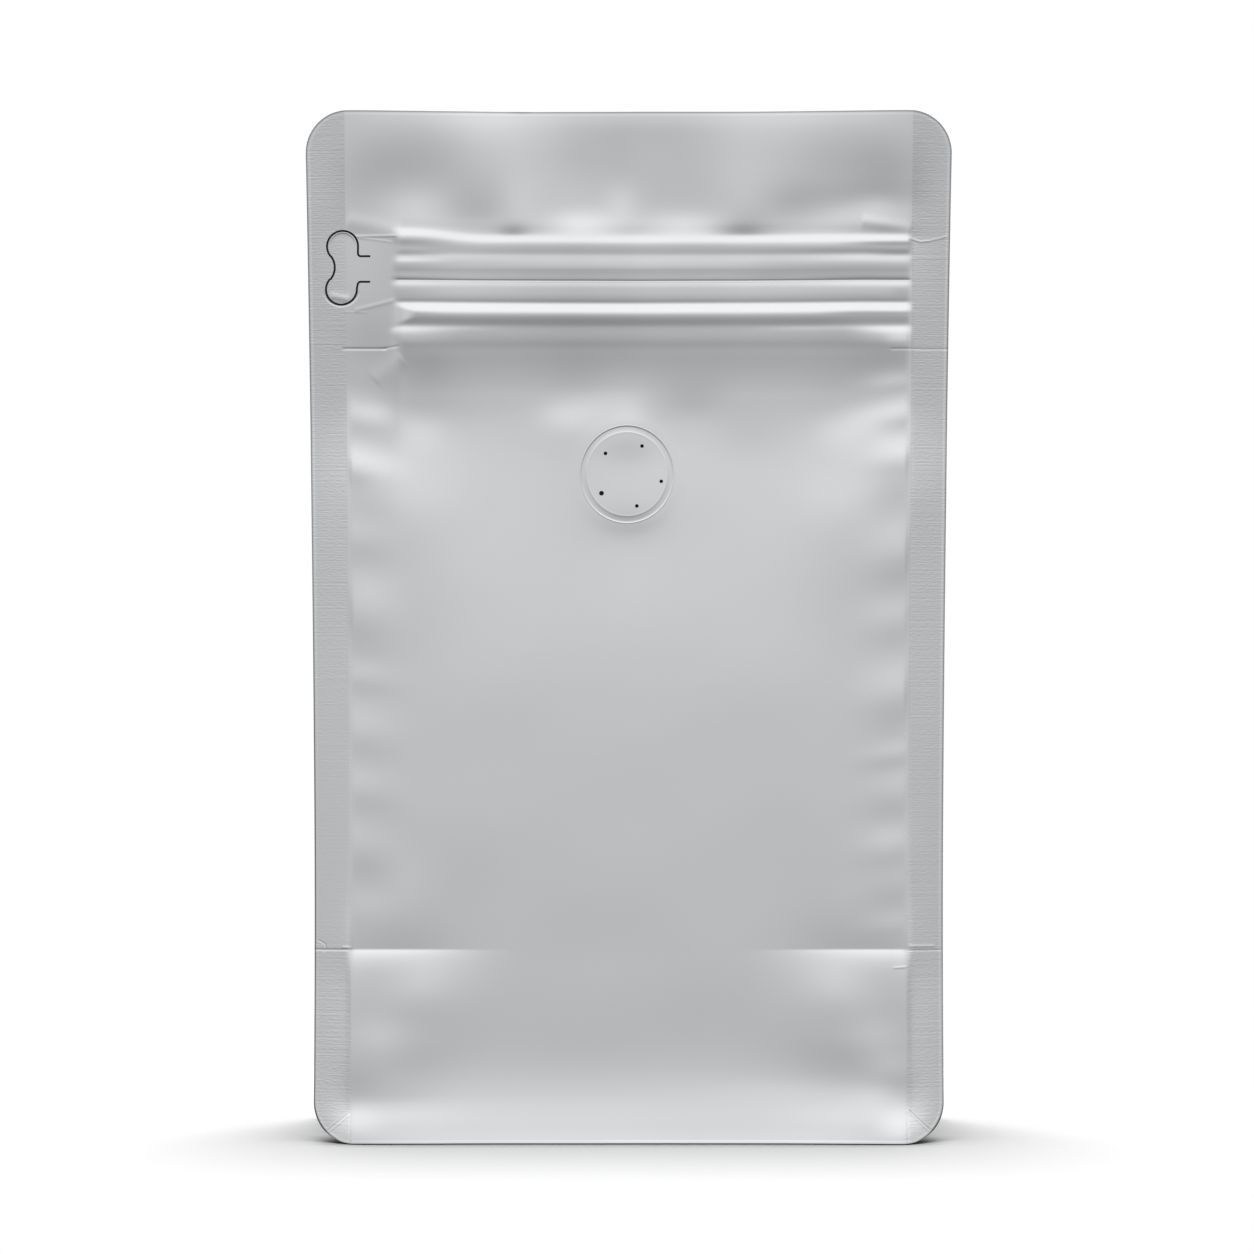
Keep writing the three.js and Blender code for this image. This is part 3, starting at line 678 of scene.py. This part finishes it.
# ---------- materials ----------
class Field:
    """A number that a shader works out at each point of a surface, put together from Math nodes."""

    def __init__(self, tree, socket):
        self.tree, self.socket = tree, socket

    def math(self, operation, *others):
        node = self.tree.nodes.new("ShaderNodeMath")
        node.operation = operation
        for place, value in zip(node.inputs, (self, *others)):
            feed(self.tree, value, place)
        return Field(self.tree, node.outputs["Value"])

    def __add__(self, other):
        return self.math("ADD", other)

    def __sub__(self, other):
        return self.math("SUBTRACT", other)

    def __mul__(self, other):
        return self.math("MULTIPLY", other)

    __radd__, __rmul__ = __add__, __mul__

    def __rsub__(self, other):
        return self * -1 + other

    def __abs__(self):
        return self.math("ABSOLUTE")

    def smooth(self, start, end):
        """0 at start, 1 at end."""
        node = self.tree.nodes.new("ShaderNodeMapRange")
        node.interpolation_type = "SMOOTHSTEP"
        node.inputs["From Min"].default_value = start
        node.inputs["From Max"].default_value = end
        feed(self.tree, self, node.inputs["Value"])
        return Field(self.tree, node.outputs["Result"])

    def bell(self, at, reach):
        """1 at a value, fading within reach of it."""
        away = (self - at) * (1 / reach)
        return (away * away * -1).math("EXPONENT")


def feed(tree, value, place):
    """Sets a socket to a number, or links it to a field."""
    if isinstance(value, Field):
        tree.links.new(value.socket, place)
    else:
        place.default_value = value


def noise(tree, x, y, z, detail=0.0):
    """Noise between -0.5 and 0.5 whose lumps are about one unit across."""
    join = tree.nodes.new("ShaderNodeCombineXYZ")
    for name, value in zip("XYZ", (x, y, z)):
        feed(tree, value, join.inputs[name])
    cloud = tree.nodes.new("ShaderNodeTexNoise")
    cloud.inputs["Scale"].default_value = 1
    cloud.inputs["Detail"].default_value = detail
    tree.links.new(join.outputs["Vector"], cloud.inputs["Vector"])
    return Field(tree, cloud.outputs["Fac"]) - 0.5


def places_mm(tree):
    """The point's x, y and z on the pouch, mm."""
    place = tree.nodes.new("ShaderNodeTexCoord")
    split = tree.nodes.new("ShaderNodeSeparateXYZ")
    tree.links.new(place.outputs["Object"], split.inputs["Vector"])
    return [Field(tree, split.outputs[name]) * 1000 for name in "XYZ"]


def stroke(x, z, start, end, reach):
    """1 along a straight mark between two (x, z) points, fading within reach of it."""
    length = math.dist(start, end)
    along_x, along_z = (end[0] - start[0]) / length, (end[1] - start[1]) / length
    along = (x - start[0]) * along_x + (z - start[1]) * along_z
    aside = (x - start[0]) * along_z - (z - start[1]) * along_x
    fade = min(1.0, length / 3) / 2
    ends = along.smooth(-fade, fade) * along.smooth(length + fade, length - fade)
    return aside.bell(0, reach) * ends


def rim_distance(x, z):
    """How far a point of the film is from its outer edge, mm."""
    aside = x * (1 / MOUTH_SAG_HALF)
    z = z + above_zero(1 - aside * aside) * MOUTH_SAG * z.smooth(MOUTH_SAG_FROM, HEIGHT)
    edge = z * ((EDGE_TOP - EDGE_BOTTOM) / HEIGHT) + EDGE_BOTTOM + bow(z)
    radius = z * ((CORNER_TOP - CORNER_BOTTOM) / HEIGHT) + CORNER_BOTTOM
    over_x = abs(x) - edge + radius
    over_z = abs(z - HEIGHT / 2) - HEIGHT / 2 + radius
    out_x, out_z = over_x.math("MAXIMUM", 0), over_z.math("MAXIMUM", 0)
    corner = (out_x * out_x + out_z * out_z).math("SQRT")
    return radius - corner - over_x.math("MAXIMUM", over_z).math("MINIMUM", 0)


def distance(x, z, centre):
    across, up = x - centre[0], z - centre[1]
    return (across * across + up * up).math("SQRT")


# Marks pressed into the front, too fine for the mesh: (from (x, z), to (x, z), reach, height), mm.
PRESSED = [
    ((-55.2, 179.75), (-46.8, 179.85), 0.28, 0.07),
    ((-54.6, 179.5), (-47.8, 178.6), 0.25, 0.035),
    ((-55.0, 164.7), (-47.2, 166.7), 0.45, 0.06),
    ((-57.2, 164.4), (-52.4, 164.3), 0.25, 0.02),
    ((-57.4, 156.95), (-48.6, 156.95), 0.26, -0.1),
    ((-49.4, 156.95), (-46.2, 157.5), 0.26, -0.06),
    ((52.6, 156.95), (64.4, 156.95), 0.24, -0.055),
    ((56.4, 179.4), (58.8, 178.65), 0.24, 0.08),
    ((58.8, 178.65), (60.5, 178.85), 0.24, 0.08),
    ((60.5, 178.85), (64.3, 179.8), 0.24, 0.06),
    ((-60.0, 167.7), (-56.2, 166.9), 0.75, 0.17),
    ((-56.6, 182.9), (-46.0, 180.6), 1.6, 0.12),
    ((47.0, 182.9), (56.8, 181.2), 1.2, 0.14),
    ((-51.0, 150.6), (-45.6, 155.2), 1.6, 0.08),
    ((56.6, 175.2), (63.6, 175.4), 0.25, 0.014),
    ((-63.9, 179.55), (-60.9, 179.55), 0.22, 0.02),
    ((-63.9, 158.1), (-57.0, 158.0), 0.22, 0.018),
    ((-62.6, 37.3), (-55.4, 37.45), 0.22, -0.085),
    ((-56.6, 37.95), (-54.6, 37.8), 0.25, 0.06),
    ((-61.5, 39.2), (-60.1, 38.6), 0.18, -0.05),
    ((-60.1, 38.6), (-59.7, 37.5), 0.18, -0.06),
    ((-59.7, 37.5), (-60.3, 36.9), 0.18, -0.05),
    ((55.2, 38.15), (60.4, 38.05), 0.3, 0.06),
    ((55.2, 37.3), (62.0, 37.25), 0.22, -0.06),
    ((52.2, 33.9), (54.8, 34.1), 0.25, 0.06),
    ((-55.2, 5.9), (-59.2, 2.5), 0.16, 0.06),
    ((-54.9, 5.3), (-58.7, 2.1), 0.16, 0.06),
    ((54.9, 6.7), (59.3, 2.6), 0.16, 0.08),
    ((54.5, 6.2), (58.8, 2.2), 0.16, 0.08),
]
# The tear line, and two fainter lines along its strip: (height, reach).
TEAR_LINE = (170.98, 0.17)
STRIP_LINES = [(172.85, 0.14), (175.3, 0.12)]
# The fin's fine ribs: how close they are, how high, and how far the seal has pressed the fin in.
RIBS_PER_MM, RIB_HEIGHT, FIN_PRESSED = 2.9, 0.03, 0.03
# The fin is painted lighter below a slanting fold at its foot, a painted highlight on the folded corner,
# and the fold starts at this x and height.
MITRE_X, MITRE_Z, MITRE_SLOPE = 54.6, 6.3, 0.9
# How much darker the tear line, the strip's lines and the strip's left end are painted, as painted shade in
# and beside their relief, and how much lighter the fin below its slanting fold is painted, as a painted
# highlight.
TEAR_SHADE, STRIP_LINE_SHADE, STRIP_END_SHADE, MITRE_LIGHT = 0.2, 0.05, 0.13, 0.13


def fin_ribs(tree, x, z):
    """The height of the ribs that the sealing bars leave on the fins, worn down low on the pouch."""
    dashes = noise(tree, x * 1.1, 0.0, z * RIBS_PER_MM) * RIB_HEIGHT
    long_ribs = noise(tree, x * 0.03, 7.0, z * RIBS_PER_MM) * RIB_HEIGHT
    worn = 1 - (1 - z.smooth(60, 130)) * z.smooth(20, 50) * (0.35 + x.smooth(10, -10) * 0.3)
    return (dashes + long_ribs) * worn - FIN_PRESSED


def tab_curl(x, z):
    """The height of the film where it curls up inside the tab's cut and dips below the tab."""
    inner = distance(x, z, TAB_UPPER).bell(TAB_R - 0.5, 0.22) * z.smooth(TAB_UPPER[1], TAB_UPPER[1] + 2)
    outer = distance(x, z, TAB_LOWER).bell(TAB_R + 0.45, 0.22) * z.smooth(TAB_LOWER[1], TAB_LOWER[1] - 2)
    return inner * 0.13 - outer * 0.1


def edge_shades(x, z, rim):
    """How much darker the film is painted along its cut edge, as painted shade that is deepest at the foot,
    where it stands for the contact shadow, and at the lower left, and how much lighter it is painted on the
    lip inside it, as a painted highlight.
    """
    foot = z.smooth(9, 3)
    left_low = x.smooth(0, -10) * z.smooth(130, 60) * 0.25
    edge = rim.smooth(0.34, 0.2) * (0.42 + left_low + foot * 0.3) + rim.smooth(0.55, 0.35) * foot * 0.2
    lip = rim.bell(0.66, 0.2) * (0.14 - left_low * 0.4 + foot * 0.12)
    return (edge * z.smooth(0.3, 1.0)).math("MINIMUM", 0.9), lip


def fin_shade(z):
    """How much darker the fins are painted than the panel, most beside the zipper and least at the foot:
    painted shade that changes with height.
    """
    beside_zipper = z.smooth(112, 165) * (1 - z.smooth(180, 190) * 0.4) * 0.125
    return z.smooth(20, 90) * 0.035 + beside_zipper - z.smooth(38, 28) * 0.07


def film_marks(tree, x, y, z):
    """Height, mm, and tone of the fin's ribs, the edges, the tear line and the pressed marks; the tone
    holds painted shade and painted highlights.
    """
    rim = rim_distance(x, z)
    z = z - DETAILS_UP
    root = z * ((ROOT_TOP - ROOT_BOTTOM) / HEIGHT) + ROOT_BOTTOM
    fin = (abs(x) - root).smooth(-0.15, 0.15)
    front = y.smooth(0.3, -0.3)
    on_strip = x.smooth(ZIP_LEFT - 0.5, ZIP_LEFT + 0.5) * x.smooth(STRIP_RIGHT, STRIP_RIGHT - 0.8)
    aside = x * (1 / ZIPPER_HALF)
    tear = (z + above_zero(1 - aside * aside) * ZIPPER_SAG).bell(*TEAR_LINE) * on_strip
    strip_lines = sum(z.bell(at, reach) for at, reach in STRIP_LINES) * on_strip
    pressed = sum(stroke(x, z, start, end, reach) * proud for start, end, reach, proud in PRESSED)
    height = fin * fin_ribs(tree, x, z) + front * (pressed - tear * 0.07 + tab_curl(x, z))
    edge, lip = edge_shades(x, z, rim)
    mitre = ((abs(x) - MITRE_X) * MITRE_SLOPE + z - MITRE_Z).smooth(0.3, -0.3) * fin
    strip_end = x.smooth(ZIP_LEFT + 1, ZIP_LEFT - 2) * z.smooth(147, 151) * z.smooth(184, 180) * (1 - fin)
    # Painted shade along the edge, on the fins, in the tear line, on the strip's lines and at the strip's
    # left end; painted highlights on the lip and on the fin below its slanting fold.
    tone = 1 - edge + lip - fin * fin_shade(z) + mitre * MITRE_LIGHT
    tone = tone - front * (tear * TEAR_SHADE + strip_lines * STRIP_LINE_SHADE + strip_end * STRIP_END_SHADE)
    return height, tone


def groove_marks(tree, x, y, z):
    """No height of its own, and a tone that is darker in the valve's groove than on its disc."""
    across, up = (x - VALVE_X) * (1 / VALVE_RX), (z - VALVE_Z) * (1 / VALVE_RZ)
    share = (across * across + up * up).math("SQRT")
    return 0.0, 1 - share.smooth(0.865, 0.885) * share.smooth(0.985, 0.97) * 0.055


FOIL_COLOUR, VALVE_COLOUR = (0.692, 0.706, 0.717), (0.7, 0.714, 0.725)
FOIL_ROUGHNESS = 0.33


def foil(name, base, own_marks=None):
    """Matte metallised film with a fine grain, and any marks of its own."""
    made, tree, shader = new_material(name)
    shader.inputs["Metallic"].default_value = 1.0
    x, y, z = places_mm(tree)
    cloud = noise(tree, x * 0.06, y * 0.06, z * 0.06, 5)
    height = noise(tree, x * 1.5, y * 1.5, z * 2.2, 1) * 0.0022
    tone = 1 + cloud * 0.03
    if own_marks:
        mark_height, mark_tone = own_marks(tree, x, y, z)
        height = height + mark_height
        tone = tone * mark_tone
    colour = tree.nodes.new("ShaderNodeVectorMath")
    colour.operation = "SCALE"
    colour.inputs[0].default_value = base
    feed(tree, tone, colour.inputs["Scale"])
    tree.links.new(colour.outputs["Vector"], shader.inputs["Base Color"])
    feed(tree, cloud * 0.06 + FOIL_ROUGHNESS, shader.inputs["Roughness"])
    bump = tree.nodes.new("ShaderNodeBump")
    bump.inputs["Strength"].default_value = 1
    bump.inputs["Distance"].default_value = MM
    feed(tree, height, bump.inputs["Height"])
    tree.links.new(bump.outputs["Normal"], shader.inputs["Normal"])
    return made


def new_material(name):
    """A material, its node tree and its shader."""
    made = bpy.data.materials.new(name)
    made.use_nodes = True
    tree = made.node_tree
    return made, tree, tree.nodes["Principled BSDF"]


def plain(name, colour, roughness):
    made, _, shader = new_material(name)
    shader.inputs["Base Color"].default_value = (*colour, 1)
    shader.inputs["Roughness"].default_value = roughness
    return made


# The floor, m, and its paint, which carries a painted contact shadow: it turns dark where the pouch shuts
# out the light within a reach.
FLOOR_RADIUS, FLOOR_SIDES = 0.16, 96
SHUT_REACH, SHUT_SHARE, OPEN_SHARE = 0.016, 0.45, 0.88
FLOOR_DARK, FLOOR_PAINT = 0.03, 0.9


def floor_paint():
    made, tree, shader = new_material("floor_white_painted_shadow")
    # Painted contact shadow: the floor's colour darkens where the pouch shuts out the light.
    shut_in = tree.nodes.new("ShaderNodeAmbientOcclusion")
    shut_in.inputs["Distance"].default_value = SHUT_REACH
    shut_in.samples = 8
    lit = Field(tree, shut_in.outputs["AO"]).smooth(SHUT_SHARE, OPEN_SHARE)
    paint = lit * (FLOOR_PAINT - FLOOR_DARK) + FLOOR_DARK
    join = tree.nodes.new("ShaderNodeCombineColor")
    for name in ("Red", "Green", "Blue"):
        feed(tree, paint, join.inputs[name])
    tree.links.new(join.outputs["Color"], shader.inputs["Base Color"])
    shader.inputs["Roughness"].default_value = 0.9
    shader.inputs["Specular IOR Level"].default_value = 0.1
    return made


# ---------- studio ----------
def floor():
    mesh = bpy.data.meshes.new("floor")
    turns = np.linspace(0, 2 * math.pi, FLOOR_SIDES + 1)[:-1]
    ring = [(FLOOR_RADIUS * math.cos(turn), FLOOR_RADIUS * math.sin(turn), 0) for turn in turns]
    mesh.from_pydata(ring, [], [tuple(range(FLOOR_SIDES))])
    mesh.materials.append(floor_paint())
    made = bpy.data.objects.new("floor", mesh)
    made.visible_glossy = False
    bpy.context.scene.collection.objects.link(made)


def fill_ramp(ramp, shades):
    while len(ramp.elements) < len(shades):
        ramp.elements.new(0.5)
    for element, (at, shade) in zip(ramp.elements, shades):
        element.position = at
        element.color = (shade, shade, shade, 1)


# The room that the foil mirrors, as (share of the way, brightness): from straight down to straight up,
# and from left to right.
ROOM_UP = [
    (0.0, 0.28), (0.25, 0.32), (0.329, 0.4), (0.413, 0.49), (0.5, 0.59), (0.604, 0.7), (0.687, 0.83),
    (0.765, 0.96), (0.821, 1.06), (0.933, 1.28), (1.0, 1.4),
]
ROOM_ACROSS = [
    (0.0, 0.88), (0.1, 0.95), (0.22, 1.02), (0.5, 1.0), (0.7, 1.01), (0.79, 0.98), (0.87, 0.92),
    (1.0, 0.82),
]
# The share of the room's light that falls on the floor.
FLOOR_SHARE = 0.7


def sky():
    """White to the camera; to the foil, a room that is brighter the higher one looks."""
    world = bpy.data.worlds.new("studio")
    bpy.context.scene.world = world
    world.use_nodes = True
    tree = world.node_tree
    tree.nodes.clear()
    node, join = tree.nodes.new, tree.links.new
    place = node("ShaderNodeTexCoord")
    split = node("ShaderNodeSeparateXYZ")
    join(place.outputs["Generated"], split.inputs["Vector"])

    def brightness(axis, shades):
        way = node("ShaderNodeMapRange")
        way.inputs["From Min"].default_value = -1
        join(split.outputs[axis], way.inputs["Value"])
        ramp = node("ShaderNodeValToRGB")
        join(way.outputs["Result"], ramp.inputs["Fac"])
        fill_ramp(ramp.color_ramp, shades)
        return ramp.outputs["Color"]

    both = node("ShaderNodeMix")
    both.data_type, both.blend_type = "RGBA", "MULTIPLY"
    both.inputs["Factor"].default_value = 1
    join(brightness("Z", ROOM_UP), both.inputs["A"])
    join(brightness("X", ROOM_ACROSS), both.inputs["B"])
    room = node("ShaderNodeBackground")
    join(both.outputs["Result"], room.inputs["Color"])
    path = node("ShaderNodeLightPath")
    on_floor = node("ShaderNodeMapRange")
    on_floor.inputs["To Min"].default_value = 1
    on_floor.inputs["To Max"].default_value = FLOOR_SHARE
    join(path.outputs["Is Diffuse Ray"], on_floor.inputs["Value"])
    join(on_floor.outputs["Result"], room.inputs["Strength"])
    white = node("ShaderNodeBackground")
    white.inputs["Color"].default_value = (1, 1, 1, 1)
    choose = node("ShaderNodeMixShader")
    join(path.outputs["Is Camera Ray"], choose.inputs["Fac"])
    join(room.outputs["Background"], choose.inputs[1])
    join(white.outputs["Background"], choose.inputs[2])
    out = node("ShaderNodeOutputWorld")
    join(choose.outputs["Shader"], out.inputs["Surface"])


def lamp(name, place, target, size, power):
    """A round soft light that no reflection shows."""
    light = bpy.data.lights.new(name, "AREA")
    light.shape, light.size, light.energy = "DISK", size, power
    made = bpy.data.objects.new(name, light)
    made.location = place
    made.rotation_euler = (Vector(target) - Vector(place)).to_track_quat("-Z", "Y").to_euler()
    made.visible_glossy = False
    bpy.context.scene.collection.objects.link(made)


def camera():
    view = bpy.data.cameras.new("camera")
    view.lens, view.sensor_width = LENS, SENSOR
    view.clip_start, view.clip_end = 0.05, 20
    made = bpy.data.objects.new("camera", view)
    made.location = [value * MM for value in EYE]
    made.rotation_euler = (math.radians(90), 0, 0)
    bpy.context.scene.collection.objects.link(made)
    bpy.context.scene.camera = made


# ---------- the scene ----------
camera()
sky()
floor()
lamp("top_light", (0, 0.2, 0.88), (0, 0, 0), 0.3, 4.0)
bpy.context.scene.view_settings.view_transform = "Standard"

film = foil("matte_foil", FOIL_COLOUR, film_marks)
fold_film = foil("fold_foil", FOIL_COLOUR)
cap_film = foil("valve_film", VALVE_COLOUR, groove_marks)
# Near-black paint on the walls of the valve's pinholes: painted shade inside them.
hole = plain("painted_hole_shade", (0.008, 0.008, 0.008), 0.8)
# Near-black paint on the walls of the cuts round the tear tab and the valve: painted shade in the cuts.
edge = plain("painted_cut_shade", (0.02, 0.02, 0.021), 0.7)

front = front_panel(film)
front.data.materials.append(edge)
cut(front, tab_cutter(edge))
cut(front, drill("valve_opening", (0, 0), (VALVE_RX, VALVE_RZ), OPENING_DEEP, 120, edge))
panels = [
    front,
    back_panel(film),
    gusset("gusset_right", 1, fold_film),
    gusset("gusset_left", -1, fold_film),
    base_panel(fold_film),
]
for panel in panels:
    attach(panel, "root")
    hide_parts("pouch")

cap = valve_cap(cap_film, hole)
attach(cap, "root")
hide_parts("valve")
